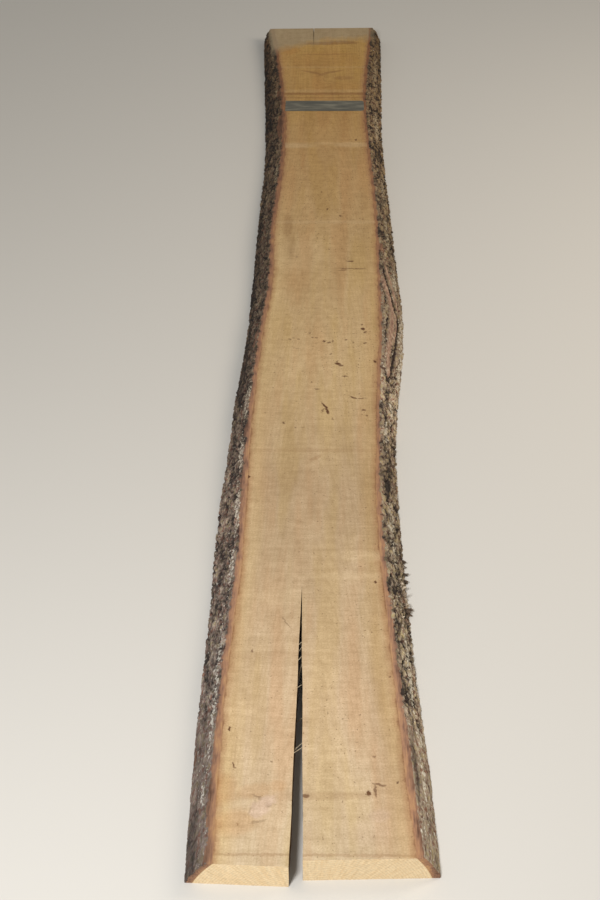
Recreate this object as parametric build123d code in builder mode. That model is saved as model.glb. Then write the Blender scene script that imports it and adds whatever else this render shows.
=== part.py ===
from build123d import *
import os
from math import radians, tan

# A live-edge oak plank, sawn flat through a log, with its bark left on both edges.
# Millimetres. X runs across the plank, Y along it towards the end with the label, Z up.
# The origin is at the middle of the plank's box, on the underside.

os.makedirs("parts", exist_ok=True)

# The sawn board
length = 3450
thickness = 51

# The wood's live edges, left and right, where they meet the upper face: offsets from the
# middle line at stations spaced evenly from the near end to the far end.
left_edge = (-158, -159, -156, -146, -144, -145, -140, -129, -116, -119, -110, -103, -105, -118, -139, -161)
right_edge = (170, 155, 143, 131, 125, 130, 137, 147, 147, 148, 143, 135, 129, 130, 144, 156)

# The same edges where they meet the underside, which lies nearer the middle of the log
# and so is the wider face.
left_foot = (-194, -197, -196, -193, -193, -184, -177, -163, -160, -157, -155, -151, -156, -165, -175, -183)
right_foot = (197, 191, 177, 168, 162, 162, 176, 195, 193, 185, 179, 172, 170, 175, 179, 181)

# The bark, measured level across the sawn face
left_bark_width = 13
right_bark_width = 13

# How far the log's round surface stands out past a straight slope at half thickness
edge_round = 3

# Drying split from the near end, through the whole thickness
split_x = -25
split_width = 23
split_length = 655
split_root_width = 0.6

# The near end cut. The split's halves have sprung apart, so each half's end has turned
# and the left one stands nearer. Angles are in degrees, seen from above.
left_half_lead = 5
left_half_skew = -2.3
right_half_lag = 8
right_half_skew = 1.8

# The far end cut and the drying check in it
far_cut_skew = 1.2
check_x = -28
check_width = 2.5
check_length = 135
check_root_width = 0.4

# Furrows of the seam in the right bark, where it has healed over a wound: for each, its
# two ends and its widest place, as a distance from the near end, a height and a radius.
seam_furrows = (
    ((1425, 36, 1), (1560, 20, 7), (1700, 13, 1)),
    ((1690, 22, 1), (1775, 32, 6), (1865, 43, 1)),
)

# Silver strip stuck on the sawn face near the far end
label_length = 238
label_width = 72
label_thickness = 0.5
label_x = 10
label_from_far_end = 608
label_corner_radius = 9

near_y = -length / 2
far_y = length / 2
levels = (0, thickness / 2, thickness)


def left_half_cut(x):
    return near_y - left_half_lead + (x - split_x) * tan(radians(left_half_skew))


def right_half_cut(x):
    return near_y + right_half_lag + (x - split_x) * tan(radians(right_half_skew))


def far_cut(x):
    return far_y + x * tan(radians(far_cut_skew))


def edge_line(level, edge, foot, outward, bark_width, near_cut):
    """Points along a live edge at a level, with bark of a given width laid on the wood."""
    up = level / thickness
    bulge = edge_round * 4 * up * (1 - up)
    spacing = length / (len(edge) - 1)
    points = []
    for station, (edge_x, foot_x) in enumerate(zip(edge, foot)):
        x = foot_x * (1 - up) + edge_x * up + outward * (bulge + bark_width)
        points.append((x, near_y + station * spacing))
    near_x, far_x = points[0][0], points[-1][0]
    return [(near_x, near_cut(near_x)), *points[1:-1], (far_x, far_cut(far_x))]


def left_line(level, bark_width=0):
    return edge_line(level, left_edge, left_foot, -1, bark_width, left_half_cut)


def right_line(level, bark_width=0):
    return edge_line(level, right_edge, right_foot, 1, bark_width, right_half_cut)


# The wood
with BuildPart() as plank:
    for level in levels:
        left = left_line(level)
        right = right_line(level)
        with BuildSketch(Plane.XY.offset(level)):
            with BuildLine():
                Spline(*left)
                Line(left[-1], right[-1])
                Spline(*reversed(right))
                Polyline(
                    right[0],
                    (split_x, right_half_cut(split_x)),
                    (split_x, left_half_cut(split_x)),
                    left[0],
                )
            make_face()
    loft()

    split_mouth_y = left_half_cut(split_x)
    split_root_y = near_y + split_length
    with BuildSketch():
        with BuildLine():
            Polyline(
                (split_x - split_width / 2, split_mouth_y),
                (split_x - split_root_width / 2, split_root_y),
                (split_x + split_root_width / 2, split_root_y),
                (split_x + split_width / 2, split_mouth_y),
                close=True,
            )
        make_face()
    extrude(amount=thickness, mode=Mode.SUBTRACT)

    check_mouth_y = far_cut(check_x + check_width / 2)
    check_root_y = far_y - check_length
    with BuildSketch():
        with BuildLine():
            Polyline(
                (check_x - check_width / 2, check_mouth_y),
                (check_x - check_root_width / 2, check_root_y),
                (check_x + check_root_width / 2, check_root_y),
                (check_x + check_width / 2, check_mouth_y),
                close=True,
            )
        make_face()
    extrude(amount=thickness, mode=Mode.SUBTRACT)

plank.part.label = "plank"


# The bark, grown on the wood and taking the shape of its edge
def x_on(line, y):
    """How far out a line of points lies at a place along the board."""
    for (x_before, y_before), (x_after, y_after) in zip(line, line[1:]):
        if y <= y_after:
            break
    return x_before + (x_after - x_before) * (y - y_before) / (y_after - y_before)


def bark_along(edge_at, bark_width, furrows=()):
    """A strip lofted from the outside of the bark to inside the wood, less the wood."""
    with BuildPart() as bark:
        for level in levels:
            outside = edge_at(level, bark_width)
            inside = edge_at(level, -bark_width)
            with BuildSketch(Plane.XY.offset(level)):
                with BuildLine():
                    Spline(*outside)
                    Line(outside[-1], inside[-1])
                    Spline(*reversed(inside))
                    Line(inside[0], outside[0])
                make_face()
        loft()
        add(plank.part, mode=Mode.SUBTRACT)

        for furrow in furrows:
            for distance, level, radius in furrow:
                y = near_y + distance
                centre = (x_on(edge_at(level, bark_width), y), y, level)
                with BuildSketch(Plane(centre, x_dir=(1, 0, 0), z_dir=(0, 1, 0))):
                    Circle(radius)
            loft(mode=Mode.SUBTRACT)
    return bark


bark_left = bark_along(left_line, left_bark_width)
bark_left.part.label = "bark_left"

bark_right = bark_along(right_line, right_bark_width, seam_furrows)
bark_right.part.label = "bark_right"

# The label strip, with its right end's corners rounded
with BuildPart() as label_strip:
    with BuildSketch(Plane((label_x, far_y - label_from_far_end, thickness))):
        Rectangle(label_length, label_width)
    extrude(amount=label_thickness)
    right_corners = label_strip.edges().filter_by(Axis.Z).group_by(Axis.X)[-1]
    fillet(right_corners, label_corner_radius)

label_strip.part.label = "label_strip"

for piece in (plank, bark_left, bark_right, label_strip):
    export_step(piece.part, f"parts/{piece.part.label}.step")
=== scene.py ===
import math
import random
from functools import partial

import bmesh
import bpy
from mathutils import Euler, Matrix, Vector, noise
from mathutils.bvhtree import BVHTree


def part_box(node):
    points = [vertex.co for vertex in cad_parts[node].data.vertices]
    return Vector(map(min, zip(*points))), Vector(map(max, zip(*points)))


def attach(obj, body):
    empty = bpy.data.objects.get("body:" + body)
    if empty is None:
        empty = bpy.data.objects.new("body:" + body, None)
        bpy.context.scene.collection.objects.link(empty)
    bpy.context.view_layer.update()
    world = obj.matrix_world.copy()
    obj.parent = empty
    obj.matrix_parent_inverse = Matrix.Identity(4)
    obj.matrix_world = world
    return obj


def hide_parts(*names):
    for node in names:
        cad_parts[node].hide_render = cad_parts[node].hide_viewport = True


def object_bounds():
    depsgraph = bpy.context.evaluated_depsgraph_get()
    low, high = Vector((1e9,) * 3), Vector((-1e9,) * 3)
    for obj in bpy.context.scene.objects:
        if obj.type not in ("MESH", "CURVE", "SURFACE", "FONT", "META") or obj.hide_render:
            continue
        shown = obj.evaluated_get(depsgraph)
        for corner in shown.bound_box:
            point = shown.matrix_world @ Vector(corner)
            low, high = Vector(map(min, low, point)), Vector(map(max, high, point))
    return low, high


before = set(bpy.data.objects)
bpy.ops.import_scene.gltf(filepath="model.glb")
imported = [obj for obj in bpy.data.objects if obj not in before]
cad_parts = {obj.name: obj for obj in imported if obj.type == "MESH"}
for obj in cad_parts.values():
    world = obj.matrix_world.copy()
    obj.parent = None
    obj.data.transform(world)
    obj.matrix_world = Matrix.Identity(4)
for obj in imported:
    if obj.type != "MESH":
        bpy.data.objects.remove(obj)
cad_low, cad_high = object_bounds()

# The board: air-dried oak, sawn flat through a log on a band mill and cut off roughly at both
# ends. It is one piece, with a long drying split from its near end and a short check in its
# far end. Both faces are as the saw left them, and the far end is brushed with end sealer.
MM = 0.001
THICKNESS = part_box("plank")[1].z
MIDDLE_Z = THICKNESS / 2
LEFT, RIGHT = -1, 1


def solid_tree(node):
    """A tree for casting rays at a solid's mesh."""
    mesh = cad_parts[node].data
    corners = [vertex.co for vertex in mesh.vertices]
    return BVHTree.FromPolygons(corners, [face.vertices for face in mesh.polygons])


def hit(tree, start, way):
    """Where a ray meets a solid."""
    return tree.ray_cast(Vector(start), Vector(way))[0]


plank_tree = solid_tree("plank")


def cut_line(from_x, to_x, outside_y, way):
    """An end cut as the y of a straight line over x, read from the solid at two places."""
    start, end = (hit(plank_tree, (x, outside_y, MIDDLE_Z), (0, way, 0)).y for x in (from_x, to_x))
    slope = (end - start) / (to_x - from_x)
    return lambda x: start + slope * (x - from_x)


near_cuts = {
    LEFT: cut_line(-150 * MM, -50 * MM, cad_low.y - 1, 1),
    RIGHT: cut_line(10 * MM, 150 * MM, cad_low.y - 1, 1),
}
far_cut = cut_line(-130 * MM, 120 * MM, cad_high.y + 1, -1)

# The split, and the check in the far end. Each lies along an x and tapers to a tip. The
# check closes up downwards too, and leans towards the heart of the log, as the rays do.
SPLIT_X, CHECK_X = -25 * MM, -28 * MM
CHECK_LEAN, CHECK_FOOT_SHARE = 3.5 * MM, 0.2


def crack(x, first_y, second_y):
    """A crack's half width over y and the y of its tip, read from the solid at two places."""
    first, second = (hit(plank_tree, (x, y, MIDDLE_Z), (1, 0, 0)).x - x for y in (first_y, second_y))
    taper = (second - first) / (second_y - first_y)
    return lambda y: first + taper * (y - first_y), first_y - first / taper


split_half, split_tip_y = crack(SPLIT_X, cad_low.y + 60 * MM, cad_low.y + 400 * MM)
check_half, check_tip_y = crack(CHECK_X, cad_high.y - 30 * MM, cad_high.y - 110 * MM)
check_tip_y += 2 * MM


def curve_through(values, start, step):
    """A smooth curve through values at even places, going on straight past its ends."""

    def at(place):
        share = (place - start) / step
        index = min(max(math.floor(share), 0), len(values) - 2)
        f = share - index
        b, c = values[index], values[index + 1]
        a = values[index - 1] if index > 0 else 2 * b - c
        d = values[index + 2] if index + 2 < len(values) else 2 * c - b
        if f < 0 or f > 1:
            return b + (c - b) * f
        return b + 0.5 * f * (c - a + f * (2 * a - 5 * b + 4 * c - d + f * (3 * (b - c) + d - a)))

    return at


# The live edges are read between the turned end cuts, at three heights.
READ_STEP = 45 * MM
READ_START, READ_END = cad_low.y + 28 * MM, cad_high.y - 16 * MM
READ_HEIGHTS = (0.01, 0.55, 0.99)


def live_edge(side):
    """The solid's live edge on one side, as x over y and a height from 0 to 1."""
    count = round((READ_END - READ_START) / READ_STEP)
    step = (READ_END - READ_START) / count
    places = [READ_START + index * step for index in range(count + 1)]
    lines = []
    for height in READ_HEIGHTS:
        reads = [hit(plank_tree, (side, y, height * THICKNESS), (-side, 0, 0)).x for y in places]
        lines.append(curve_through(reads, READ_START, step))
    middle_height = READ_HEIGHTS[1]

    def at(y, height):
        foot, middle, top = (line(y) for line in lines)
        straight = foot * (1 - middle_height) + top * middle_height
        bulge = (middle - straight) / (4 * middle_height * (1 - middle_height))
        return foot * (1 - height) + top * height + bulge * 4 * height * (1 - height)

    return at


solid_edges = {side: live_edge(side) for side in (LEFT, RIGHT)}


def waver(*place):
    """Smooth noise from about -1 to 1, at a place counted in patches."""
    return noise.noise(Vector(place))


def wood_edge(side, y, height):
    """The wood's live edge, wandering a little on a scale too fine for the solid."""
    slow = waver(y / (110 * MM), side * 3.1, height * 0.4)
    quick = waver(y / (34 * MM), side * 7.7, height * 0.7)
    return solid_edges[side](y, height) + (1.7 * slow + 0.9 * quick) * MM


def inner_wall(side, y, height):
    """Where a half of the board ends inwards: at the torn wall of the split or the check, or
    between them at a line through sound wood. Both walls wander alike, as the wood tore."""
    if split_tip_y <= y <= check_tip_y:
        return SPLIT_X + (CHECK_X - SPLIT_X) * (y - split_tip_y) / (check_tip_y - split_tip_y)
    if y < split_tip_y:
        wall, from_tip = SPLIT_X + side * split_half(y), split_tip_y - y
    else:
        from_tip = y - check_tip_y
        lean = CHECK_LEAN * (1 - height) * min(from_tip / (20 * MM), 1)
        narrowed = CHECK_FOOT_SHARE + (1 - CHECK_FOOT_SHARE) * height
        wall = CHECK_X + lean + side * check_half(y) * narrowed
    shared = 1.4 * waver(y / (90 * MM), 2.3, 0.3 * height)
    torn = 0.5 * waver(y / (22 * MM), side * 4.9, 2.2 * height)
    return wall + (shared + torn) * min(from_tip / (120 * MM), 1) * MM


def tear_out(x, z):
    """How far the cross-cut has torn into an end."""
    return 0.5 * MM * abs(noise.fractal(Vector((x / (12 * MM), z / (6 * MM), 1.7)), 0.9, 2.0, 3))


# The mesh's steps along and across the board, and through its thickness
BOARD_ROW_STEP, BOARD_COLUMN_STEP, BOARD_HEIGHT_STEPS = 4.1 * MM, 8.5 * MM, 5
split_rows = round((split_tip_y - cad_low.y) / BOARD_ROW_STEP)
whole_rows = round((cad_high.y - split_tip_y) / BOARD_ROW_STEP)
board_rows = split_rows + whole_rows
check_share = (check_tip_y - split_tip_y) / (far_cut(CHECK_X) - split_tip_y)
check_row = split_rows + math.floor(whole_rows * check_share)


def board_row_y(half, row, x):
    """Where a row of the board's mesh crosses x. The rows turn to follow the end cuts."""
    if row <= split_rows:
        start = near_cuts[half](x)
        return start + (split_tip_y - start) * row / split_rows
    return split_tip_y + (far_cut(x) - split_tip_y) * (row - split_rows) / whole_rows


def saw_ridges(x, y):
    """The sawn face's height: ridges across it, 11 mm apart, where the blade caught."""
    wander = 4 * MM * waver(x / (100 * MM), y / (500 * MM), 0)
    ridges = waver(0.5, (y + wander) / (11 * MM), 8.0)
    slow = waver(x / (120 * MM), y / (300 * MM), 3.0)
    return (0.16 * ridges + 0.25 * slow - 0.35) * MM


# The log, for the growth rings: its radius in mm, how much it tapers, and how far its pith
# lay below the board. EDGE_GUESS is about where a live edge lies, to start from.
LOG_RADIUS, LOG_TAPER = 216, 0.045
PITH_BELOW, EDGE_GUESS = 106 * MM, 120 * MM


def board_corner(half, share, row, height):
    """A corner of the board's mesh, from the live edge to the inner wall, with its growth
    ring's radius and its distance in from the live edge, both in millimetres."""
    edge_guess = solid_edges[half](board_row_y(half, row, EDGE_GUESS * half), height)
    y_edge = board_row_y(half, row, edge_guess)
    x_edge = wood_edge(half, y_edge, height)
    x_wall = inner_wall(half, board_row_y(half, row, SPLIT_X), height)
    x = x_edge + (x_wall - x_edge) * share
    y = board_row_y(half, row, x)
    z = height * THICKNESS
    left, right = (solid_edges[side](y, height) for side in (LEFT, RIGHT))
    middle = (left + right) / 2
    depth = z + PITH_BELOW
    round_log = math.hypot((right - left) / 2, depth)
    ring = math.hypot(x - middle, depth) / round_log * LOG_RADIUS + LOG_TAPER * y / MM
    if height == 1:
        z += saw_ridges(x, y)
    if row == 0:
        y += tear_out(x, z)
    if row == board_rows:
        y -= tear_out(x, z)
    return Vector((x, y, z)), (ring, abs(x - x_edge) / MM)


def add_grid(mesh, layers, lines, material=0):
    """Adds a grid of corners with their values to a mesh, as faces of one material."""
    grid = []
    for line in lines:
        grid.append([])
        for place, values in line:
            vertex = mesh.verts.new(place)
            for layer, value in zip(layers, values):
                vertex[layer] = value
            grid[-1].append(vertex)
    for line, next_line in zip(grid, grid[1:]):
        for corners in zip(line, line[1:], next_line[1:], next_line):
            mesh.faces.new(corners).material_index = material


def make_piece(mesh, name, materials, crease=40):
    """Makes an object of a mesh, which rides with the part's one body. Edges that turn by
    more than the crease, in degrees, are sharp."""
    bmesh.ops.remove_doubles(mesh, verts=mesh.verts, dist=0.002 * MM)
    bmesh.ops.recalc_face_normals(mesh, faces=mesh.faces)
    data = bpy.data.meshes.new(name)
    mesh.to_mesh(data)
    mesh.free()
    for material in materials:
        data.materials.append(material)
    data.shade_smooth()
    data.set_sharp_from_angle(angle=math.radians(crease))
    piece = bpy.data.objects.new(name, data)
    bpy.context.scene.collection.objects.link(piece)
    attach(piece, "root")
    return piece


def even_steps(count):
    """Places from 0 to 1, in a number of even steps."""
    return [step / count for step in range(count + 1)]


SAWN, END_GRAIN, TORN = 0, 1, 2
BOARD_VALUES = ("ring", "inset")
board = bmesh.new()
board_layers = [board.verts.layers.float.new(name) for name in BOARD_VALUES]
rows = range(board_rows + 1)
heights = even_steps(BOARD_HEIGHT_STEPS)
for half in (LEFT, RIGHT):
    shares = even_steps(round(abs(solid_edges[half](0, 1) - SPLIT_X) / BOARD_COLUMN_STEP))
    for height in (0, 1):
        lines = [[board_corner(half, share, row, height) for share in shares] for row in rows]
        add_grid(board, board_layers, lines, SAWN)
    lines = [[board_corner(half, 0, row, height) for height in heights] for row in rows]
    add_grid(board, board_layers, lines, SAWN)
    for crack_rows in (range(split_rows + 1), range(check_row, board_rows + 1)):
        lines = [[board_corner(half, 1, row, height) for height in heights] for row in crack_rows]
        add_grid(board, board_layers, lines, TORN)
    for row in (0, board_rows):
        lines = [[board_corner(half, share, row, height) for height in heights] for share in shares]
        add_grid(board, board_layers, lines, END_GRAIN)


def linear(colour):
    """A #rrggbb sRGB colour as linear RGBA."""
    parts = [int(colour[i : i + 2], 16) / 255 for i in (1, 3, 5)]
    return [c / 12.92 if c <= 0.04045 else ((c + 0.055) / 1.055) ** 2.4 for c in parts] + [1]


def fill(node, inputs):
    """Gives a node its inputs, by name or in order, of those in use. Each takes a value, a
    #rrggbb colour, a socket or a node's first output in use."""
    sockets = [socket for socket in node.inputs if socket.enabled]
    names = [socket.name for socket in sockets]
    for name, value in inputs.items() if isinstance(inputs, dict) else enumerate(inputs):
        socket = sockets[name if isinstance(name, int) else names.index(name)]
        if isinstance(value, bpy.types.Node):
            value = next(s for s in value.outputs if s.enabled)
        if isinstance(value, bpy.types.NodeSocket):
            node.id_data.links.new(value, socket)
        else:
            socket.default_value = linear(value) if isinstance(value, str) else value


def add_node(tree, kind, inputs, operation=None, stops=(), **settings):
    """Adds a node of a kind, as Blender names it after ShaderNode, with its operation,
    settings and inputs. Stops are a colour ramp's places and colours."""
    node = tree.nodes.new("ShaderNode" + kind)
    if operation:
        settings["operation"] = operation
    for name, value in settings.items():
        setattr(node, name, value)
    fill(node, inputs)
    if stops:
        elements = node.color_ramp.elements
        for place, _ in stops[1:-1]:
            elements.new(place)
        for element, (place, colour) in zip(elements, stops):
            element.position, element.color = place, linear(colour)
    return node


def new_material(name, roughness):
    """A material, its shader, what adds a node to it and a point's place on the part."""
    material = bpy.data.materials.new(name)
    material.use_nodes = True
    shader = material.node_tree.nodes["Principled BSDF"]
    fill(shader, {"Roughness": roughness})
    add = partial(add_node, material.node_tree)
    return material, shader, add, add("TexCoord", {}).outputs["Object"]


MIXED = {"data_type": "RGBA"}
MULTIPLIED = {"data_type": "RGBA", "blend_type": "MULTIPLY"}


def span(value, start, end, low=0, high=1):
    """A map range's inputs: for a value of start it gives low, and for end it gives high."""
    return {"Value": value, "From Min": start, "From Max": end, "To Min": low, "To Max": high}


def spread(place, size):
    """A mapping's inputs that make one unit of a pattern the size given in millimetres."""
    return {"Vector": place, "Scale": [1000 / part for part in size]}


# What the sawn face shows, by colour: worm holes, saw tears and flecks of dirt, bands across
# it where the board was fed unevenly, and stained and rubbed places. Each is across and along
# from the near end, width and length in mm, a turn in degrees, and a strength in percent.
FACE_MARKS = {
    "#57300f": (
        (-146, 297, 6, 9, 0, 95), (-135, 215, 3, 10, 20, 85), (-132, 208, 6, 3, 20, 65),
        (-115, 492, 4, 8, -15, 65), (-144, 1015, 7, 9, 0, 95), (-53, 568, 3, 34, 28, 39),
        (95, 153, 8, 10, 0, 95), (106, 158, 4, 26, 4, 65), (113, 172, 20, 5, -12, 65),
        (144, 175, 5, 5, 0, 78), (-11, 147, 11, 8, -15, 78), (106, 234, 5, 5, 0, 59),
        (139, 425, 5, 6, 0, 52), (117, 683, 5, 7, 0, 95), (133, 1453, 6, 10, 0, 95),
        (47, 1442, 14, 8, -20, 95), (54, 1436, 12, 6, 0, 78), (45, 1452, 4, 10, -10, 65),
        (62, 1391, 13, 5, 0, 78), (17, 1273, 4, 30, 24, 95), (22, 1254, 6, 22, 18, 95),
        (13, 1258, 3, 16, -20, 59), (81, 1306, 18, 5, -30, 85), (100, 1303, 24, 4, 6, 65),
        (104, 1258, 8, 6, -20, 65), (110, 1236, 5, 5, 0, 59), (104, 1613, 5, 6, 30, 78),
        (107, 1593, 9, 10, 30, 95), (112, 1579, 6, 9, -30, 78), (111, 1531, 8, 6, 0, 65),
        (-67, 1548, 7, 7, 0, 52), (-58, 1553, 5, 5, 0, 45), (-47, 1548, 6, 5, 0, 52),
        (-20, 1575, 4, 12, -20, 45), (-14, 1557, 7, 6, 0, 59), (-5, 1553, 7, 5, 0, 52),
        (14, 1540, 5, 8, 0, 78), (25, 1534, 10, 7, 20, 78), (35, 1540, 5, 10, 0, 52),
        (66, 1546, 5, 7, 0, 65), (83, 1534, 6, 6, 0, 52), (30, 1484, 4, 6, 0, 52),
        (-50, 1510, 12, 4, 0, 39), (-13, 1368, 4, 8, 0, 45), (0, 1340, 12, 5, 10, 52),
        (-74, 1209, 6, 9, 0, 72), (-48, 1193, 5, 6, 0, 52), (35, 1223, 5, 5, 0, 45),
        (80, 1915, 20, 7, 5, 78), (82, 1878, 76, 4, -3, 65), (60, 1870, 24, 5, 8, 52),
        (-58, 1938, 4, 12, 0, 45), (20, 2194, 6, 10, 0, 78), (3, 2293, 5, 8, 0, 52),
        (55, 2156, 6, 9, 0, 65), (102, 2615, 6, 10, 0, 78),
    ),
    "#8a5f34": (
        (0, 24, 700, 5, 0, 30), (-10, 146, 300, 16, 1, 22), (-76, 480, 150, 20, 3, 14),
        (0, 1108, 700, 12, 0, 14), (-2, 1081, 34, 10, 40, 30), (-60, 1010, 120, 90, 0, 8),
        (-85, 2100, 26, 120, 0, 30), (-72, 1990, 16, 120, 0, 25), (0, 2935, 700, 16, 0, 60),
        (0, 2906, 700, 8, 0, 40), (8, 3327, 150, 22, 0, 60), (70, 3335, 90, 26, -6, 55),
        (20, 3238, 190, 9, 2, 32), (-30, 3152, 120, 8, 0, 32), (-32, 3096, 70, 11, -24, 45),
        (32, 3098, 80, 11, 22, 50), (0, 3076, 30, 9, 0, 50), (70, 3052, 60, 26, 0, 42),
        (-137, 250, 14, 190, 2, 14), (118, 250, 34, 420, 3, 16), (108, 520, 16, 190, -3, 10),
    ),
    "#b07a3c": (
        (-126, 90, 70, 50, 10, 32), (-148, 160, 40, 60, 0, 30), (-96, 158, 70, 26, 10, 22),
        (-60, 168, 30, 24, 0, 25), (-146, 620, 24, 500, 0, 12), (-100, 3270, 60, 60, 0, 30),
        (20, 3200, 200, 120, 0, 20), (60, 2990, 120, 60, 0, 16),
    ),
    "#e6cda4": (
        (0, 2122, 700, 16, 0, 12), (-74, 2578, 110, 30, 0, 24), (88, 2584, 100, 30, 0, 22),
        (0, 2592, 700, 14, 0, 10), (0, 2955, 700, 20, 0, 10), (0, 3135, 700, 12, 0, 8),
        (60, 700, 160, 24, 0, 16), (90, 760, 110, 30, 0, 20), (-70, 640, 110, 40, 0, 14),
        (-50, 1950, 120, 160, 0, 12),
    ),
    "#6f5338": (
        (-73, 128, 11, 11, 0, 70), (-84, 140, 40, 5, -26, 40), (-100, 120, 5, 26, -20, 35),
        (-88, 92, 30, 5, 18, 35),
    ),
    "#cfb49c": (
        (-86, 120, 32, 22, -28, 85), (-76, 134, 32, 20, 30, 85), (-92, 110, 22, 20, 0, 80),
        (111, 105, 34, 26, 15, 40), (96, 70, 60, 50, 0, 20),
    ),
}

# Sawn oak, dry and never planed: no gloss, fibre along the board, fuzz and blade marks
# across it, which are drawn coarser than real ones so that they show. It is paler at the
# near end and more golden towards the far end: partly the wood's own tone and partly
# painted light, the warmer light that fell on the far end.
sawn_oak, shader, add, place = new_material("sawn oak", 0.8)
across, along, _ = add("SeparateXYZ", {"Vector": place}).outputs
ring, inset = (add("Attribute", {}, attribute_name=name).outputs["Fac"] for name in BOARD_VALUES)
reach = add("MapRange", span(along, cad_low.y, cad_high.y))
# Its tones from the near end to the far one, warming partly as painted light
OAK_TONES = (
    (0, "#cab697"), (0.1, "#d0b898"), (0.17, "#c4ac8b"), (0.28, "#bba382"), (0.4, "#c9af86"),
    (0.56, "#bfa377"), (0.7, "#bb9a6a"), (0.85, "#b89257"), (1, "#c8a25c"),
)
colour = add("ValToRGB", {"Fac": reach}, stops=OAK_TONES)
# The patterns of its colour, as a patch's size across, along and up in mm, and its detail
patterns = []
for size, detail in (
    ((45, 420, 60), 3),
    ((45, 260, 45), 3),
    ((12, 26, 12), 3),
    ((4, 5, 4), 1),
    ((160, 420, 160), 2),
    ((7, 7, 7), 3),
):
    pattern = add("Mapping", spread(place, size))
    patterns.append(add("TexNoise", {"Vector": pattern, "Scale": 1, "Detail": detail}))
tint, ring_drift, stain, specks, crowd, ragged = patterns
tint = add("ValToRGB", {"Fac": tint}, stops=((0.36, "#fdf2e8"), (0.5, "#fffcf8"), (0.64, "#fcf7e6")))
colour = add("Mix", (1.0, colour, tint), **MULTIPLIED)
# The patterns of its shade, the same way, with how dark and how pale each makes it
shade = 1.0
for size, detail, darkest, palest in (
    ((5, 85, 5), 4, 0.955, 1.04),
    ((50, 5, 60), 3, 0.94, 1.045),
    ((18, 15, 16), 3, 0.92, 1.07),
    ((400, 16, 60), 2, 0.96, 1.03),
    ((40, 190, 70), 4, 0.90, 1.07),
    ((3, 3.2, 3), 3, 0.87, 1.10),
):
    pattern = add("Mapping", spread(place, size))
    pattern = add("TexNoise", {"Vector": pattern, "Scale": 1, "Detail": detail})
    pattern = add("MapRange", span(pattern, 0.3, 0.7, darkest, palest))
    shade = add("Math", (shade, pattern), "MULTIPLY")
# What is darker is also browner: blue falls off faster than red.
powers = {"Red": 0.85, "Green": 1.0, "Blue": 1.25}
powers = {name: add("Math", (shade, power), "POWER") for name, power in powers.items()}
warm_shade = add("CombineColor", powers)

# Growth rings, 4.2 mm wide, faint along most of the board and stronger beyond the middle
RING_WIDTH = 4.2
ring_count = add("Math", (ring, 1 / RING_WIDTH), "MULTIPLY")
ring_count = add("Math", (ring_drift, 3.4, ring_count), "MULTIPLY_ADD")
RING_TONES = ((0, "#ffffff"), (0.45, "#f6f2ec"), (0.8, "#c9b8a2"), (1, "#ffffff"))
late_wood = add("ValToRGB", {"Fac": add("Math", (ring_count,), "FRACT")}, stops=RING_TONES)
ring_strength = add("MapRange", span(along, 0.4, 1.3, 0.14, 0.2))
colour = add("Mix", (ring_strength, colour, late_wood), **MULTIPLIED)

# Sapwood inside the live edges: a paler, yellower band on the left side of the near two
# thirds, and a faint duller one on the right. Against the bark the wood is stained reddish.
sapwood = add("Math", (ring_drift, -26.0, inset), "MULTIPLY_ADD")
sapwood = add("MapRange", span(sapwood, 30.0, 8.0, 0, 0.42))
near_part = add("MapRange", span(along, 0.7, 0.0, 0.25))
sapwood = add("Math", (sapwood, near_part), "MULTIPLY")
right_side = add("MapRange", span(across, -10 * MM, 10 * MM))
sap_colour = add("Mix", (right_side, "#d0b382", "#b7945f"), **MIXED)
colour = add("Mix", (sapwood, colour, sap_colour), **MIXED)
stain = add("Math", (stain, -14.0, inset), "MULTIPLY_ADD")
for nearest, furthest, strength, stain_colour in ((-6.0, 6.5, 0.7, "#a67a55"), (-8.0, -4.0, 0.6, "#74492c")):
    amount = add("MapRange", span(stain, furthest, nearest, 0, strength))
    colour = add("Mix", (amount, colour, stain_colour), **MIXED)

# Specks of dirt and open pores
specks = add("Math", (crowd, 0.16, specks), "MULTIPLY_ADD")
more_beyond = add("MapRange", span(reach, 0.1, 0.7, -0.02, 0.03))
specks = add("Math", (specks, more_beyond))
specks = add("MapRange", span(specks, 0.775, 0.85, 0, 0.6))
colour = add("Mix", (specks, colour, "#63401e"), **MIXED)

# The marks have ragged edges, 5 mm either way, and fade out over the outer 0.6 of their
# radius, so they are drawn wider and longer than the table says.
ragged = add("VectorMath", (ragged.outputs["Color"], (0.5, 0.5, 0.5)), "SUBTRACT")
ragged = add("VectorMath", (ragged, (10 * MM, 10 * MM, 0), place), "MULTIPLY_ADD")
MARK_WIDER, MARK_LONGER, MARK_DEPTH, MARK_RIM = 0.72, 0.78, 20 * MM, 0.6
for mark_colour, marks in FACE_MARKS.items():
    mask = 0.0
    for x, y, width, mark_length, turn, strength in marks:
        spot = {
            "Vector": ragged,
            "Location": (x * MM, cad_low.y + y * MM, THICKNESS),
            "Rotation": (0, 0, math.radians(turn)),
            "Scale": (MARK_WIDER * width * MM, MARK_LONGER * mark_length * MM, MARK_DEPTH),
        }
        mark = add("Mapping", spot, vector_type="TEXTURE")
        mark = add("TexGradient", {"Vector": mark}, gradient_type="SPHERICAL").outputs["Fac"]
        fade = span(mark, 0, MARK_RIM, 0, strength / 100)
        mark = add("MapRange", fade, interpolation_type="SMOOTHSTEP")
        mask = add("Math", (mask, mark), "MAXIMUM")
    colour = add("Mix", (mask, colour, mark_colour), **MIXED)

# The end sealer: a thin, dull wax coat, brushed on. Its ragged, see-through edge lies further
# from the end on the left, crosses the middle at SEAL_EDGE_Y and sways with the brush, and
# the coat thickens from there to the end.
SEAL_EDGE_Y = cad_high.y - 113 * MM
SEAL_SLANT, SEAL_CURVE = 0.34, -1.35
SEAL_SWAY = 70 * MM
SEAL_THIN, SEAL_THICK, SEAL_COVER = 2 * MM, 68 * MM, 0.85


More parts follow.
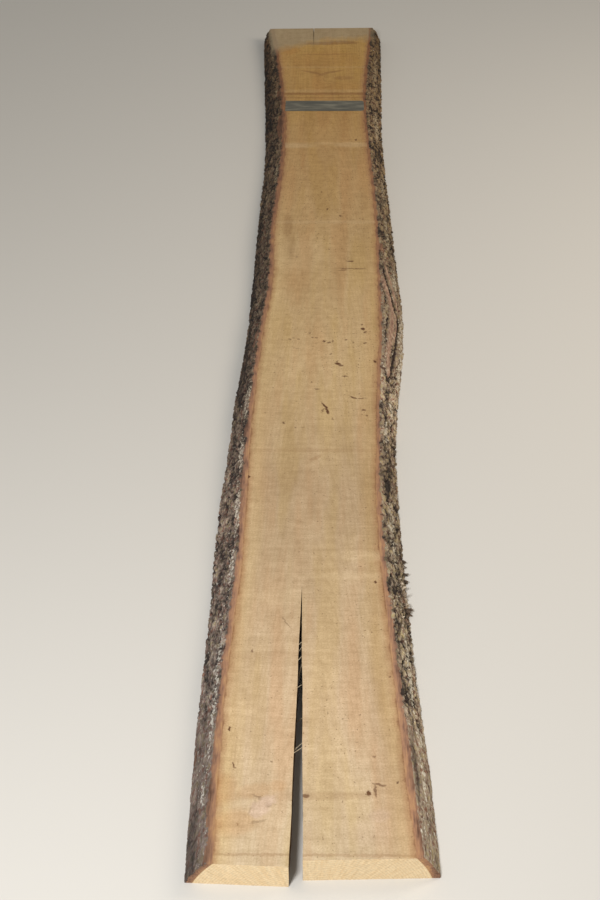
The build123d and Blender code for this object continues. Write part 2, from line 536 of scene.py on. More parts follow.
def sealed(add, place):
    """How thickly the sealer lies, from 0 to 1."""
    brush = add("Mapping", spread(place, (14, 60, 30)))
    brush = add("TexNoise", {"Vector": brush, "Scale": 1, "Detail": 4})
    across, along, _ = add("SeparateXYZ", {"Vector": place}).outputs
    line = add("Math", (across, SEAL_CURVE, SEAL_SLANT), "MULTIPLY_ADD")
    line = add("Math", (across, line), "MULTIPLY")
    line = add("Math", (along, line), "SUBTRACT")
    line = add("Math", (brush, SEAL_SWAY, line), "MULTIPLY_ADD")
    thin, thick = SEAL_EDGE_Y + SEAL_THIN, SEAL_EDGE_Y + SEAL_THICK
    return add("MapRange", span(line, thin, thick, 0, SEAL_COVER))


SEALER = "#ad9a7b"
colour = add("Mix", (sealed(add, place), colour, SEALER), **MIXED)
colour = add("Mix", (1.0, colour, warm_shade), **MULTIPLIED)
fuzz = add("Bump", {"Strength": 0.5, "Distance": 0.6 * MM, "Height": shade})
fill(shader, {"Base Color": colour, "Normal": fuzz})

# Oak end grain, cross-cut: growth rings round the heart of the log, which lay below the
# board, crossed by pale rays, 30 to a radian, and furred by the saw. The rays and the fur are
# drawn coarser than real ones, the fur with fibres 4 mm apart, so that they show.
oak_end_grain, shader, add, place = new_material("oak end grain", 0.85)
across, along, up = add("SeparateXYZ", {"Vector": place}).outputs
ring = add("Attribute", {}, attribute_name="ring").outputs["Fac"]
late_wood = add("Math", (ring, 1 / RING_WIDTH), "MULTIPLY")
late_wood = add("Math", (late_wood,), "FRACT")
# Paler than the sawn face: partly the fresh cut's own colour and partly painted light, the light that falls
# full on the ends
END_TONES = ((0, "#e4c69a"), (0.25, "#efd9b3"), (0.8, "#ebd3aa"), (1, "#e4c69a"))
colour = add("ValToRGB", {"Fac": late_wood}, stops=END_TONES)
depth = add("Math", (up, PITH_BELOW), "ADD")
rays = add("Math", (across, depth), "DIVIDE")
streak = add("CombineXYZ", {"X": rays, "Y": up, "Z": along})
streak = add("Mapping", {"Vector": streak, "Scale": (30, 28, 28)})
streak = add("TexNoise", {"Vector": streak, "Scale": 1, "Detail": 4})
streak = add("MapRange", span(streak, 0.42, 0.62, 0, 0.28))
colour = add("Mix", (streak, colour, "#d3a96a"), **MIXED)
FIBRES_A_METRE = 260
furred = add("TexNoise", {"Vector": place, "Scale": FIBRES_A_METRE, "Detail": 4})
furred = add("MapRange", span(furred, 0.3, 0.7, 0.86, 1.08))
colour = add("Mix", (sealed(add, place), colour, SEALER), **MIXED)
colour = add("Mix", (1.0, colour, furred), **MULTIPLIED)
fur = add("Bump", {"Strength": 0.6, "Distance": 0.8 * MM, "Height": furred})
fill(shader, {"Base Color": colour, "Normal": fur})

# Torn oak, inside the split: long broken fibres, pale on a dirty brown
torn_oak, shader, add, place = new_material("torn oak", 0.9)
fibre = add("Mapping", spread(place, (3, 60, 2.5)))
fibre = add("TexNoise", {"Vector": fibre, "Scale": 1, "Detail": 4})
colour = add("ValToRGB", {"Fac": fibre}, stops=((0.3, "#453319"), (0.5, "#7a5d38"), (0.7, "#b3986a")))
fibre = add("Bump", {"Strength": 0.7, "Distance": 1.2 * MM, "Height": fibre})
fill(shader, {"Base Color": colour, "Normal": fibre})

board_piece = make_piece(board, "oak_board", (sawn_oak, oak_end_grain, torn_oak))
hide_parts("plank")

# The bark: thick, furrowed oak bark that was never taken off, with its soft reddish inner
# layer shown where the saw went through it. The left edge is finely cracked and dark, and
# the right one coarse and crusty, with a healed seam where the tree closed over a wound.
BARK_NODES = {LEFT: "bark_left", RIGHT: "bark_right"}
READ_Y = -1.0


def bark_width_of(side):
    """How far the bark stands out from the wood, read from the solids clear of the seam."""
    outside = hit(solid_tree(BARK_NODES[side]), (side, READ_Y, MIDDLE_Z), (-side, 0, 0)).x
    return abs(outside - solid_edges[side](READ_Y, 0.5))


bark_widths = {side: bark_width_of(side) for side in BARK_NODES}


def bark_edge(side, y, height):
    """The outside of the solid bark."""
    return solid_edges[side](y, height) + side * bark_widths[side]


# The mesh's steps along, up the outer side, across a sawn face and up the contact with the
# wood. The outer side's width is measured up its slope, and it lies about at BARK_GUESS.
BARK_ROW_STEP = 2.1 * MM
SLOPE_STEPS, ACROSS_STEPS, CONTACT_STEPS = 36, 6, 3
SLOPE_WIDTH, BARK_GUESS = 68 * MM, 170 * MM
# Of each side, in mm: the spacing of its long furrows and of the cracks between them, across
# and along, and the depth of each and the height of the crust
FURROWS = {
    LEFT: ((13, 28), (7, 12), 2.6, 1.5, 1.6),
    RIGHT: ((14, 30), (8, 12), 3.4, 1.8, 2.0),
}
# Stretches where the bark is smoother or rougher: a side, from and to in mm, and how rough
ROUGHNESS = (
    (LEFT, -100, 350, 0.4),
    (RIGHT, -100, 330, 0.4),
    (RIGHT, 330, 760, 1.15),
    (RIGHT, 2000, 3500, 1.15),
)

# How much of the sawn face the outer layer takes up, from 0 to 1: of each side, its share
# at distances from the near end in mm
OUTER_SHARES = {
    LEFT: ((0, 0.1), (250, 0.06), (800, 0.12), (1000, 0.06), (1400, 0.25), (2300, 0.08), (3450, 0.12)),
    RIGHT: ((0, -0.1), (450, 0.0), (650, 0.1), (1000, 0.35), (1450, 0.5), (2500, 0.4), (3450, 0.3)),
}

# Places where the outer layer has come off, of each side: along from the near end in mm, a
# height from 0 to 1, a length in mm and a height. Then pale patches of lichen and dry crust,
# and darker stretches, which are painted shade: wholly on the lower left bark, and partly
# near the top of the right bark
BARE_PATCHES = {
    LEFT: (
        (60, 1.02, 280, 0.22), (262, 0.12, 50, 0.14), (1010, 1.0, 80, 0.25), (1180, 1.0, 60, 0.2),
        (1560, 0.9, 90, 0.2), (2720, 0.96, 190, 0.4), (2930, 0.92, 90, 0.25),
    ),
    RIGHT: (
        (660, 0.25, 50, 0.25), (1990, 0.9, 50, 0.3),
    ),
}
PALE_PATCHES = {
    LEFT: (
        (160, 0.72, 60, 0.2), (400, 0.84, 420, 0.22), (730, 0.88, 160, 0.2), (910, 0.92, 200, 0.26),
        (1110, 0.88, 160, 0.2), (1300, 0.93, 190, 0.2), (2410, 0.94, 150, 0.18), (2965, 0.82, 40, 0.25),
        (3081, 0.66, 30, 0.3), (3200, 0.8, 120, 0.2),
    ),
    RIGHT: (
        (305, 0.45, 70, 0.3), (200, 0.5, 120, 0.25), (470, 0.5, 260, 0.3), (860, 0.6, 260, 0.4),
        (1190, 0.82, 100, 0.3), (1290, 0.5, 160, 0.4), (1560, 0.14, 420, 0.3), (1480, 0.92, 200, 0.12),
        (1850, 0.4, 200, 0.4), (2100, 0.6, 200, 0.3), (2330, 0.5, 160, 0.5), (2760, 0.5, 240, 0.5),
        (3150, 0.6, 300, 0.4),
    ),
}
SHADED_DARK_PATCHES = {
    LEFT: (
        (60, 0.3, 200, 0.7), (1900, 0.2, 900, 0.6), (2900, 0.2, 1100, 0.7), (1450, 0.35, 420, 0.7),
    ),
    RIGHT: (
        (220, 0.88, 190, 0.26), (400, 0.9, 120, 0.3), (1010, 0.75, 130, 0.5), (1330, 0.8, 110, 0.3),
        (1690, 0.93, 120, 0.24), (2560, 0.55, 130, 0.7),
    ),
}


def smooth(value, low, high):
    """Goes smoothly from 0 at low to 1 at high."""
    share = min(max((value - low) / (high - low), 0), 1)
    return share * share * (3 - 2 * share)


def between_stations(stations, distance):
    """A value between the stations of a list of distances and values."""
    for (start, before), (end, after) in zip(stations, stations[1:]):
        if distance <= end:
            break
    return before + (after - before) * min(max((distance - start) / (end - start), 0), 1)


def patch_amount(patches, distance, height):
    """How much of any patch in a list there is at a place, from 0 to 1."""
    amount = 0
    for middle, level, long, tall in patches:
        if abs(distance - middle) < long:
            away = math.hypot((distance - middle) / long, (height - level) / tall)
            amount = max(amount, 1 - smooth(away, 0.25, 0.6))
    return amount


# The seam in the right bark: smooth strands, one of them from a pale knob up to the sawn
# edge, with deep furrows between, which are also painted dark as shade. Each is a half
# width, then points of distance from the near end in mm and height.
SEAM_STRANDS = (
    (0.19, (1412, 0.78), (1460, 0.80), (1505, 0.82), (1550, 0.78), (1600, 0.72), (1660, 0.67)),
    (0.17, (1580, 0.76), (1660, 0.67), (1715, 0.64), (1760, 0.74), (1810, 0.90), (1850, 1.0)),
    (0.09, (1700, 0.29), (1740, 0.36), (1800, 0.50), (1860, 0.68), (1930, 0.90)),
    (0.06, (1540, 0.60), (1620, 0.50), (1680, 0.47), (1730, 0.50)),
)
SEAM_FURROWS = (
    (0.14, (1370, 0.88), (1425, 0.66), (1465, 0.54), (1512, 0.47), (1600, 0.38), (1720, 0.28)),
    (0.11, (1670, 0.42), (1719, 0.47), (1780, 0.62), (1836, 0.78), (1910, 0.95)),
    (0.05, (1520, 0.98), (1596, 0.93), (1650, 0.86), (1700, 0.82)),
    (0.05, (1700, 0.93), (1740, 0.89), (1800, 0.98), (1830, 1.01)),
)
SEAM_KNOB = (1421, 0.77)


def line_strength(lines, distance, height):
    """How close a place is to the nearest of a set of lines, from 0 to 1."""
    amount = 0
    for half_width, *points in lines:
        first, last = points[0][0], points[-1][0]
        tapers = smooth(distance, first - 5, first + 40) * (1 - smooth(distance, last - 40, last + 5))
        if first <= distance < last:
            away = abs(height - between_stations(points, distance))
            amount = max(amount, (1 - smooth(away, 0, half_width)) * tapers)
    return amount


def bark_surface(side, y, height):
    """The bark's height over its solid in mm, and how deep in a furrow, how bare, how pale
    (or below 0 how dark), how much on a strand of the seam and how rough a place is, with
    the outer layer's share of the sawn face there."""
    long_furrow, cross_crack, furrow_depth, crack_depth, crust = FURROWS[side]
    around = height * SLOPE_WIDTH
    seed = 9.0 * side
    distance = (y - cad_low.y) / MM
    rough = 1.0
    for stretch_side, start, end, amount in ROUGHNESS:
        if stretch_side == side:
            inside = smooth(distance, start - 25, start + 25) * (1 - smooth(distance, end - 25, end + 25))
            rough += (amount - 1) * inside
    drift = waver(around / (45 * MM), y / (80 * MM), seed)
    drift_along = waver(around / (30 * MM), y / (60 * MM), seed + 4)
    lines = []
    for (across_size, along_size), layer in ((long_furrow, 0), (cross_crack, 20)):
        across = around / (across_size * MM) + 0.7 * drift
        along = y / (along_size * MM) + 0.7 * drift_along
        lines.append(1 - smooth(abs(waver(across, along, seed + layer)), 0.0, 0.17))
    scales = noise.fractal(Vector((around / (9 * MM), y / (16 * MM), seed)), 0.8, 2.1, 4)
    slow = waver(around / (40 * MM), y / (110 * MM), seed + 8)
    furrow = max(lines[0], 0.55 * lines[1]) * (1 - 0.5 * smooth(height, 0.88, 0.97))
    relief = -furrow_depth * lines[0] - crack_depth * lines[1] + crust * scales
    relief = relief * rough + 1.3 * slow + 0.5

    bare = patch_amount(BARE_PATCHES[side], distance, height + 0.10 * drift)
    bare *= smooth(scales + 0.8 * drift, -0.7, 0.0)
    pale = patch_amount(PALE_PATCHES[side], distance, height + 0.06 * drift)
    # The dark patches take away from pale: painted shade on the lower left bark, partly painted shade on the
    # right bark
    pale -= patch_amount(SHADED_DARK_PATCHES[side], distance, height + 0.10 * drift)
    relief = relief * (1 - 0.7 * bare) - 1.6 * bare
    strand = 0
    if side == RIGHT and 1350 < distance < 1950:
        sway = height + 0.02 * drift_along
        strand = line_strength(SEAM_STRANDS, distance, sway)
        knob_away = math.hypot((distance - SEAM_KNOB[0]) / 20, (height - SEAM_KNOB[1]) / 0.12)
        knob = 1 - smooth(knob_away, 0.5, 1)
        strand = max(strand, knob)
        groove = line_strength(SEAM_FURROWS, distance, sway) * (1 - strand)
        relief = relief * (1 - 0.7 * strand) * (1 - 0.6 * groove) + 1.2 * strand + knob - 5.5 * groove
        furrow = max(furrow * (1 - strand), 2.2 * groove)
        pale = max(pale * (1 - strand), knob)
        # Its crust is more even in colour, but no flatter, than elsewhere.
        rough *= 1 - 0.35 * smooth(distance, 1415, 1465) * (1 - smooth(distance, 1875, 1925))
    outer = between_stations(OUTER_SHARES[side], distance)
    return relief, (furrow, bare, pale, strand, rough, outer)


def bark_row_y(side, share, x):
    """Where a row of the bark's mesh crosses x, by its share of the length."""
    start = near_cuts[side](x)
    return start + (far_cut(x) - start) * share


def bark_corner(side, share, across, height):
    """A corner of the bark's mesh, from its outside (across 0) to the wood (across 1)."""
    y = bark_row_y(side, share, BARK_GUESS * side)
    y = bark_row_y(side, share, bark_edge(side, y, height))
    relief, (furrow, bare, pale, strand, rough, outer) = bark_surface(side, y, height)
    outside = bark_edge(side, y, height) + side * relief * MM
    outside = min(max(outside, cad_low.x), cad_high.x)
    wood = wood_edge(side, y, height) - side * 0.3 * MM
    x = outside + (wood - outside) * across
    z = height * THICKNESS
    if across == 0:
        z += 0.5 * relief * MM * smooth(min(height, 1 - height), 0, 0.15)
    if height == 1:
        z -= (0.35 + 0.5 * abs(waver(x / (4 * MM), y / (12 * MM), 5.0))) * MM
    y = bark_row_y(side, share, x)
    if share == 0:
        y += 2 * tear_out(x, z)
    if share == 1:
        y -= 2 * tear_out(x, z)
    values = (across, furrow * (1 - across), bare, pale, strand * (1 - across), rough, outer)
    return Vector((x, y, z)), values


BARK_VALUES = ("depth", "furrow", "bare", "pale", "strand", "rough", "outer")


def bark_mesh(side):
    """The bark's outside, its contact with the wood, its two sawn faces and its two ends."""
    mesh = bmesh.new()
    layers = [mesh.verts.layers.float.new(name) for name in BARK_VALUES]
    shares = even_steps(round((cad_high.y - cad_low.y) / BARK_ROW_STEP))
    heights = even_steps(SLOPE_STEPS)
    acrosses = even_steps(ACROSS_STEPS)
    for across, levels in ((0, heights), (1, even_steps(CONTACT_STEPS))):
        lines = [[bark_corner(side, share, across, height) for height in levels] for share in shares]
        add_grid(mesh, layers, lines)
    for height in (0, 1):
        lines = [[bark_corner(side, share, across, height) for across in acrosses] for share in shares]
        add_grid(mesh, layers, lines)
    for share in (0, 1):
        lines = [[bark_corner(side, share, across, height) for across in acrosses] for height in heights]
        add_grid(mesh, layers, lines)
    return mesh


# Of each side: the plates' colours from the furrows up, the lichen's colour and its share,
# how the outer and then the inner layer darken from the near end to the far one, partly as
# painted shade and warmer painted light far off, and the size in mm of the crust's grain and
# the lichen's patches
BARK_LOOKS = {
    LEFT: (
        ((0, "#352d29"), (0.3, "#6c5f56"), (0.6, "#96877c"), (1, "#c9bcac")),
        ("#e0d9c9", 0.22),
        (
            (0, "#e2e2e6"), (0.12, "#ebebee"), (0.28, "#fbf6f2"), (0.42, "#c8c0b5"), (0.72, "#c7bba6"),
            (1, "#b39e7e"),
        ),
        ((0, "#e8e6df"), (0.1, "#f4f2ee"), (0.2, "#ffffff"), (1, "#c9b397")),
        ((6, 10, 6), (4.6, 7, 4.6)),
    ),
    RIGHT: (
        ((0, "#3c332b"), (0.3, "#867868"), (0.6, "#b7a793"), (1, "#e7d8c0")),
        ("#e6dfcd", 0.30),
        (
            (0, "#ffffff"), (0.1, "#f6f4f2"), (0.2, "#d1cec9"), (0.3, "#cdc6be"), (0.38, "#f6f2ee"),
            (0.6, "#b5ab9c"), (0.78, "#c6b8a5"), (1, "#9b8a71"),
        ),
        ((0, "#fffbf0"), (0.1, "#ffffff"), (1, "#c9b397")),
        ((8, 13, 8), (6.5, 10, 6.5)),
    ),
}

# Oak bark, dry and matt: grey-brown plates with near-black furrows, flecked reddish and
# olive and scattered with pale crust and lichen, over a fibrous reddish-brown inner layer
for side, node in BARK_NODES.items():
    plate_tones, (lichen_colour, lichen_share), outer_by_reach, inner_by_reach, sizes = BARK_LOOKS[side]
    crust_size, lichen_size = sizes
    oak_bark, shader, add, place = new_material(f"oak bark {node[5:]}", 0.92)
    depth, furrow, bare, pale, strand, rough, outer = (
        add("Attribute", {}, attribute_name=name).outputs["Fac"] for name in BARK_VALUES
    )
    patterns = []
    for size, settings in (
        (crust_size, {"Detail": 5, "Roughness": 0.6}),
        ((18, 40, 18), {"Detail": 3}),
        ((8, 13, 8), {"Detail": 3}),
        (lichen_size, {"Detail": 3, "Distortion": 0.6}),
        ((2.6, 26, 2.6), {"Detail": 4}),
    ):
        pattern = add("Mapping", spread(place, size))
        patterns.append(add("TexNoise", {"Vector": pattern, "Scale": 1, **settings}))
    crust, zone, fleck, lichen, fibre = patterns
    tone = add("Math", (zone, 1.2, crust), "MULTIPLY_ADD")
    tone = add("MapRange", span(tone, 0.79, 1.41, -0.48, 0.45))
    # The furrows are darker: partly the bark's own colour, partly painted shade in them
    tone = add("Math", (furrow, -0.55, tone), "MULTIPLY_ADD")
    tone = add("Math", (tone, rough, 0.55), "MULTIPLY_ADD")
    # Below 0, pale gives the dark patches: painted shade, wholly on the lower left bark and partly on the
    # right
    dark = add("Math", (pale, 0.0), "MINIMUM")
    tone = add("Math", (dark, 0.28, tone), "MULTIPLY_ADD", use_clamp=True)
    colour = add("ValToRGB", {"Fac": tone}, stops=plate_tones)
    fleck = add("ValToRGB", {"Fac": fleck}, stops=((0.36, "#dcb5a4"), (0.5, "#ffffff"), (0.64, "#efeacb")))
    lichen = add("Math", (pale, 0.16, lichen), "MULTIPLY_ADD")
    least = 0.70 - lichen_share * 0.35
    lichen = add("MapRange", span(lichen, least, least + 0.12, 0, 0.85))

    # The inner layer is orange-brown against the wood and darker and redder outwards.
    inner = add("Math", (zone, 1.0, fibre), "MULTIPLY_ADD")
    inner = add("Math", (depth, 0.45, inner), "MULTIPLY_ADD")
    inner = add("MapRange", span(inner, 0.75, 1.65))
    INNER_TONES = ((0, "#5f4334"), (0.35, "#8c6955"), (0.6, "#a57c60"), (1, "#bd946a"))
    inner = add("ValToRGB", {"Fac": inner}, stops=INNER_TONES)
    ragged = add("Math", (depth, outer), "SUBTRACT")
    ragged = add("Math", (crust, 0.4, ragged), "MULTIPLY_ADD")
    ragged = add("Math", (zone, 0.7, ragged), "MULTIPLY_ADD")
    sawn = add("MapRange", span(ragged, 0.5, 0.6))
    on_face = add("MapRange", span(depth, 0.01, 0.04))
    sawn = add("Math", (sawn, on_face), "MULTIPLY")
    rubbed = add("Math", (crust, 0.9, bare), "MULTIPLY_ADD")
    rubbed = add("MapRange", span(rubbed, 0.75, 1.0))
    shown = add("Math", (sawn, rubbed), "MAXIMUM")
    _, along, up = add("SeparateXYZ", {"Vector": place}).outputs
    reach = add("MapRange", span(along, cad_low.y, cad_high.y))
    # Darker and warmer towards the far end: partly the bark's own change, partly painted shade and warm
    # painted light
    outer_by_reach, inner_by_reach = (add("ValToRGB", {"Fac": reach}, stops=reach_tint) for reach_tint in (outer_by_reach, inner_by_reach))
    reach_tint = add("Mix", (shown, outer_by_reach, inner_by_reach), **MIXED)

    # The seam's strands are bare and weathered, and between them it is painted all but black, as shade in
    # its deep furrows.
    healed = add("ValToRGB", {"Fac": fibre}, stops=((0.3, "#6e4f42"), (0.5, "#a27f6a"), (0.7, "#c4a98f")))
    # Painted shade: the seam's deep furrows are mixed to all but black
    deep = add("MapRange", span(furrow, 0.9, 1.7, 0, 0.85))
    bared = add("Math", (crust, 0.6, strand), "MULTIPLY_ADD")
    bared = add("MapRange", span(bared, 0.45, 0.75))
    bared = add("Math", (bared, strand), "MINIMUM")

    # Sealer ran over the top edge only, and less of it on the right.
    reached = 0.9 if side == LEFT else 0.35
    top_edge = add("MapRange", span(up, 36 * MM, 46 * MM, 0, reached))
    coated = add("Math", (sealed(add, place), top_edge), "MULTIPLY")

    for amount, over, blend in (
        (1.0, fleck, MULTIPLIED),
        (lichen, lichen_colour, MIXED),
        (shown, inner, MIXED),
        (1.0, reach_tint, MULTIPLIED),
        (deep, "#33221c", MIXED),
        (bared, healed, MIXED),
        (coated, SEALER, MIXED),
    ):
        colour = add("Mix", (amount, colour, over), **blend)
    grit = add("Bump", {"Strength": 0.8, "Distance": 1.6 * MM, "Height": crust})
    fill(shader, {"Base Color": colour, "Normal": grit})
    bark_piece = make_piece(bark_mesh(side), f"oak_{node}", (oak_bark,), crease=60)
    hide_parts(node)

# Loose flakes of the outer bark, where the right edge was knocked: thin, pointed chips that
# still hang on by one end and curl outwards. Most of them are painted dark as shadow: they
# stand for the shadows that such flakes cast beside the bark. Groups of them, by distance
# from the near end in mm, a height, how many, their length in mm and how pale they are.
FLAKE_GROUPS = (
    (790, 0.12, 5, 11, 0.1),
    (747, 0.10, 7, 14, 0.1),
    (709, 0.42, 5, 12, 0.9),
    (668, 0.29, 6, 13, 0.6),
    (645, 0.12, 7, 16, 0.15),
    (612, 0.55, 3, 11, 0.8),
)
FLAKE_WIDTHS = (1.0, 1.0, 0.75, 0.3)
flakes = bmesh.new()
flake_layers = [flakes.verts.layers.float.new("tip")]
rng = random.Random(7)
flake_places = [group for group in FLAKE_GROUPS for _ in range(group[2])]
for group_distance, group_height, _, flake_length, pale in flake_places:
    distance = group_distance + rng.uniform(-14, 14)
    height = max(group_height + rng.uniform(-0.1, 0.1), 0.04)
    y = cad_low.y + distance * MM
    base = Vector((bark_edge(RIGHT, y, height) - 3 * MM, y, height * THICKNESS))
    reach = flake_length * rng.uniform(0.6, 1.1) * MM
    half_width = rng.uniform(1.4, 3.2) * MM
    half_thick = rng.uniform(0.4, 0.8) * MM
    outward = Vector((1, rng.uniform(-0.9, 0.5), rng.uniform(-0.1, 0.9))).normalized()
    wide = outward.cross(Vector((rng.uniform(-0.6, 0.6), rng.uniform(-0.6, 0.6), 1))).normalized()
    flat = outward.cross(wide)
    bend = rng.uniform(-0.5, 0.5)
    lines = []
    for step, width_share in enumerate(FLAKE_WIDTHS):
        share = step / (len(FLAKE_WIDTHS) - 1)
        centre = base + outward * reach * share + flat * bend * reach * share * share
        centre.x = min(centre.x, cad_high.x - 4 * MM)
        ring = []
        for side_share, flat_share in ((-1, -1), (1, -1), (1, 1), (-1, 1), (-1, -1)):
            corner = centre + wide * half_width * width_share * side_share
            corner += flat * half_thick * flat_share
            corner.z = max(corner.z, 0.5 * MM)
            ring.append((corner, (share * pale,)))
        lines.append(ring)
    add_grid(flakes, flake_layers, lines)
    for ring in (lines[0], lines[-1]):
        add_grid(flakes, flake_layers, [ring[:2], [ring[3], ring[2]]])
bark_flake, shader, add, place = new_material("broken bark", 0.9)
tip = add("Attribute", {}, attribute_name="tip").outputs["Fac"]
CRUMBS_A_METRE = 300
crumb = add("TexNoise", {"Vector": place, "Scale": CRUMBS_A_METRE, "Detail": 2})
# Where pale is low the flakes stay dark, as painted shadow
tone = add("Math", (crumb, 0.7, tip), "MULTIPLY_ADD")
colour = add("ValToRGB", {"Fac": tone}, stops=((0.3, "#30261c"), (0.6, "#6f5c4a"), (1, "#cdbda6")))
fill(shader, {"Base Color": colour})
make_piece(flakes, "bark_flakes", (bark_flake,), crease=30)

# Splinters: slivers of oak that tore loose as the split opened and still cross it, as their
# start, middle and end in mm (z up from the underside) and a radius, and a few pale slivers
# that lie on the right bark, as a distance and a height for each of the three, and a radius.
SPLINTERS = (
    ((-37, 238, 50), (-28, 246, 51), (-17, 258, 48), 0.55),
    ((-33, 252, 44), (-26, 262, 46), (-16, 270, 47), 0.45),
    ((-33, 396, 49), (-26, 402, 50), (-19, 410, 47), 0.5),
    ((-33, 462, 49), (-26, 474, 50), (-19, 486, 47), 0.6),
    ((-31, 492, 45), (-25, 500, 46), (-18, 516, 48), 0.5),
    ((-29, 508, 50), (-25, 514, 51), (-20, 518, 50), 0.5),
    ((-36, 330, 20), (-27, 345, 24), (-17, 352, 22), 0.7),
    ((-30, 420, 30), (-27, 455, 36), (-21, 480, 32), 0.9),
    ((-30, 430, 22), (-25, 470, 26), (-22, 500, 24), 0.9),
    ((-30, 560, 40), (-26, 572, 43), (-21, 590, 41), 0.45),
)
BARK_SLIVERS = (
    ((1380, 0.48), (1402, 0.26), (1384, 0.10), 0.9),
    ((1382, 0.36), (1364, 0.33), (1345, 0.31), 1.0),
    ((1350, 0.24), (1336, 0.19), (1318, 0.17), 0.9),
    ((1368, 0.20), (1350, 0.12), (1336, 0.09), 0.8),
    ((1296, 0.44), (1282, 0.40), (1262, 0.42), 0.8),
)


def on_bark(distance, height):
    """A place just off the right bark's surface."""
    y = cad_low.y + distance * MM
    return Vector((bark_edge(RIGHT, y, height) + 0.8 * MM, y, height * THICKNESS))


def in_split(x, distance, z):
    """A place in the split."""
    return Vector((x * MM, cad_low.y + distance * MM, z * MM))


sticks = [[*(in_split(*end) for end in ends), radius] for *ends, radius in SPLINTERS]
sticks += [[*(on_bark(*end) for end in ends), radius] for *ends, radius in BARK_SLIVERS]
STICK_SIDES, STICK_STEPS = 5, 8
splinters = bmesh.new()
for start, middle, end, radius in sticks:
    lines = []
    # The first and last rings have no width, which closes the ends.
    for step in (0, *range(STICK_STEPS + 1), STICK_STEPS):
        share = step / STICK_STEPS
        # Each splinter bends from its start past its middle to its end.
        centre = start * (1 - share) ** 2 + middle * 2 * share * (1 - share) + end * share**2
        ahead = (middle - start) * (1 - share) + (end - middle) * share
        side_way = ahead.cross(Vector((0, 0, 1))).normalized()
        up_way = side_way.cross(ahead).normalized()
        thick = radius * MM * (0.35 + 0.65 * math.sin(math.pi * (0.15 + 0.7 * share)))
        if len(lines) in (0, STICK_STEPS + 2):
            thick = 0
        lines.append([])
        for corner in range(STICK_SIDES + 1):
            turn = 2 * math.pi * corner / STICK_SIDES
            out = side_way * math.cos(turn) + up_way * math.sin(turn)
            lines[-1].append((centre + out * thick, ()))
    add_grid(splinters, (), lines)
splinter_oak, shader, add, place = new_material("splintered oak", 0.7)
fibre = add("TexNoise", {"Vector": place, "Scale": FIBRES_A_METRE, "Detail": 2})
colour = add("ValToRGB", {"Fac": fibre}, stops=((0.3, "#b09a78"), (0.7, "#e4d5b8")))
fill(shader, {"Base Color": colour})
make_piece(splinters, "oak_splinters", (splinter_oak,), crease=60)

# The label: a blank strip of silvery tape stuck across the sawn face near its far end, with
# rounded corners at one end and slightly rippled where the rough wood shows through.
LABEL_COLUMNS, LABEL_ROWS = 72, 20
LABEL_SHEET = 0.2 * MM
label_low, label_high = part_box("label_strip")
label_size = label_high - label_low
CORNER_RADIUS = 9 * MM


def label_corner(share_x, share_y, lifted):
    """A corner of the strip's mesh. At its right end the edge draws in round the corners."""
    reach_x = label_size.x
    from_side = min(share_y, 1 - share_y) * label_size.y
    if from_side < CORNER_RADIUS:
        reach_x -= CORNER_RADIUS - math.sqrt(CORNER_RADIUS**2 - (CORNER_RADIUS - from_side) ** 2)
    x = label_low.x + share_x * reach_x
    y = label_low.y + share_y * label_size.y
    ripple = waver(x / (30 * MM), y / (12 * MM), 2.0) + 0.5 * waver(x / (8 * MM), y / (20 * MM), 6.0)
    z = label_low.z + (0.12 + 0.10 * ripple) * MM
    return Vector((x, y, z + LABEL_SHEET * lifted)), ()


label = bmesh.new()
columns, rows = even_steps(LABEL_COLUMNS), even_steps(LABEL_ROWS)
for lifted in (0, 1):
    add_grid(label, (), [[label_corner(column, row, lifted) for row in rows] for column in columns])
for row in (0, 1):
    add_grid(label, (), [[label_corner(column, row, lifted) for column in columns] for lifted in (0, 1)])
for column in (0, 1):
    add_grid(label, (), [[label_corner(column, row, lifted) for row in rows] for lifted in (0, 1)])

# Aluminium-faced tape, rubbed dull: a soft metallic sheen with fine creases
silver_tape, shader, add, place = new_material("rubbed aluminium tape", 0.45)
crease = add("Mapping", spread(place, (60, 14, 14)))
crease = add("TexNoise", {"Vector": crease, "Scale": 1, "Detail": 4})
# The creases' ridges are paler: partly painted highlight
colour = add("ValToRGB", {"Fac": crease}, stops=((0.32, "#65645a"), (0.5, "#777468"), (0.68, "#9a9686")))
dull = add("MapRange", span(crease, 0.3, 0.7, 0.35, 0.55))
crease = add("Bump", {"Strength": 0.5, "Distance": 0.8 * MM, "Height": crease})
fill(shader, {"Base Color": colour, "Metallic": 0.6, "Roughness": dull, "Normal": crease})
label_piece = make_piece(label, "tape_label", (silver_tape,), crease=30)
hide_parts("label_strip")

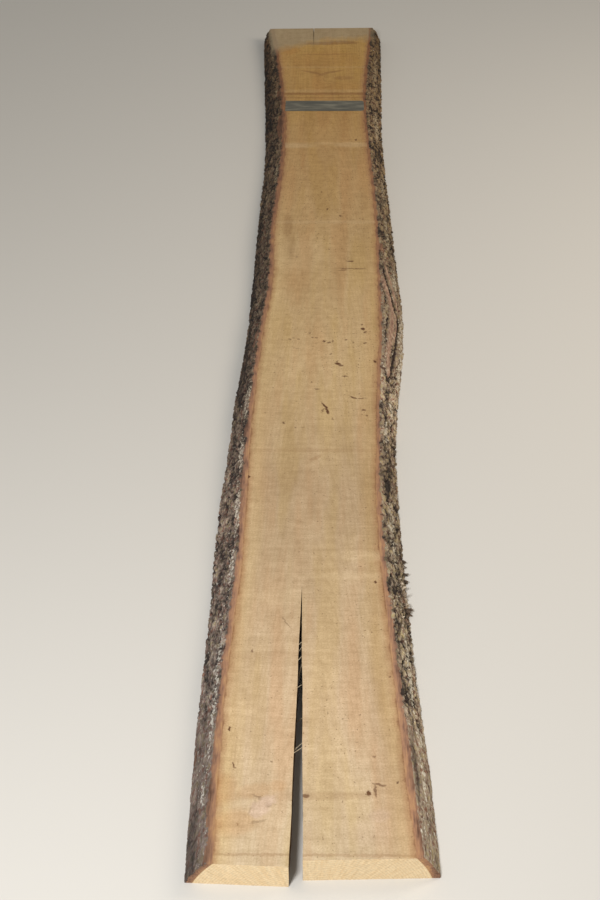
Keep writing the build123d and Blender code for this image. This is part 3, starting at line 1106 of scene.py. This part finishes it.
# The floor, the lights and the camera: a plain pale floor under soft light, with the camera
# where the photograph was taken from.
FLOOR_SIDES = (-9, 9)
floor_corners = [(x, y, 0) for x in FLOOR_SIDES for y in FLOOR_SIDES]
floor_mesh = bpy.data.meshes.new("floor")
floor_mesh.from_pydata(floor_corners, [], [(0, 2, 3, 1)])
floor = bpy.data.objects.new("floor", floor_mesh)
bpy.context.scene.collection.objects.link(floor)
floor_paint = bpy.data.materials.new("pale floor")
floor_paint.use_nodes = True
fill(floor_paint.node_tree.nodes["Principled BSDF"], {"Base Color": "#d6d3cd", "Roughness": 0.9})
floor_mesh.materials.append(floor_paint)

world = bpy.data.worlds.new("soft room")
world.use_nodes = True
bpy.context.scene.world = world
fill(world.node_tree.nodes["Background"], {"Color": "#f6f4ef", "Strength": 0.34})

# Each lamp's place, what it points at, its size in metres, its power in watts and colour
LAMPS = (
    ("front_lamp", (-0.75, -3.1, 2.3), (0, -0.6, 0), 0.6, 72, "#ffffff"),
    ("side_lamp", (2.6, 0, 2.4), (0, 0, 0), 1.6, 50, "#fff1de"),
)
for name, lamp_place, target, size, power, lamp_colour in LAMPS:
    light = bpy.data.lights.new(name, "AREA")
    light.shape = "DISK"
    light.size = size
    light.energy = power
    light.color = linear(lamp_colour)[:3]
    lamp = bpy.data.objects.new(name, light)
    lamp.location = lamp_place
    lamp.rotation_euler = (Vector(target) - Vector(lamp_place)).to_track_quat("-Z", "Y").to_euler()
    bpy.context.scene.collection.objects.link(lamp)

# The camera's height in the frame and lens in mm, its place, and its turns in degrees: to
# the left, up from straight down, and about its own line of sight
SENSOR_HEIGHT, LENS = 36, 63.23
CAMERA_PLACE = (28.6 * MM, -3347.8 * MM, 2104.6 * MM)
HEADING, PITCH, ROLL = 1.36, 90 - 36.975, -0.687
camera_data = bpy.data.cameras.new("camera")
camera_data.sensor_fit = "VERTICAL"
camera_data.sensor_height = SENSOR_HEIGHT
camera_data.lens = LENS
camera = bpy.data.objects.new("camera", camera_data)
camera.location = CAMERA_PLACE
aim = Euler((math.radians(PITCH), 0, math.radians(HEADING))).to_matrix()
camera.rotation_euler = (aim @ Euler((0, 0, math.radians(ROLL))).to_matrix()).to_euler()
bpy.context.scene.collection.objects.link(camera)
bpy.context.scene.camera = camera
bpy.context.scene.view_settings.view_transform = "Standard"
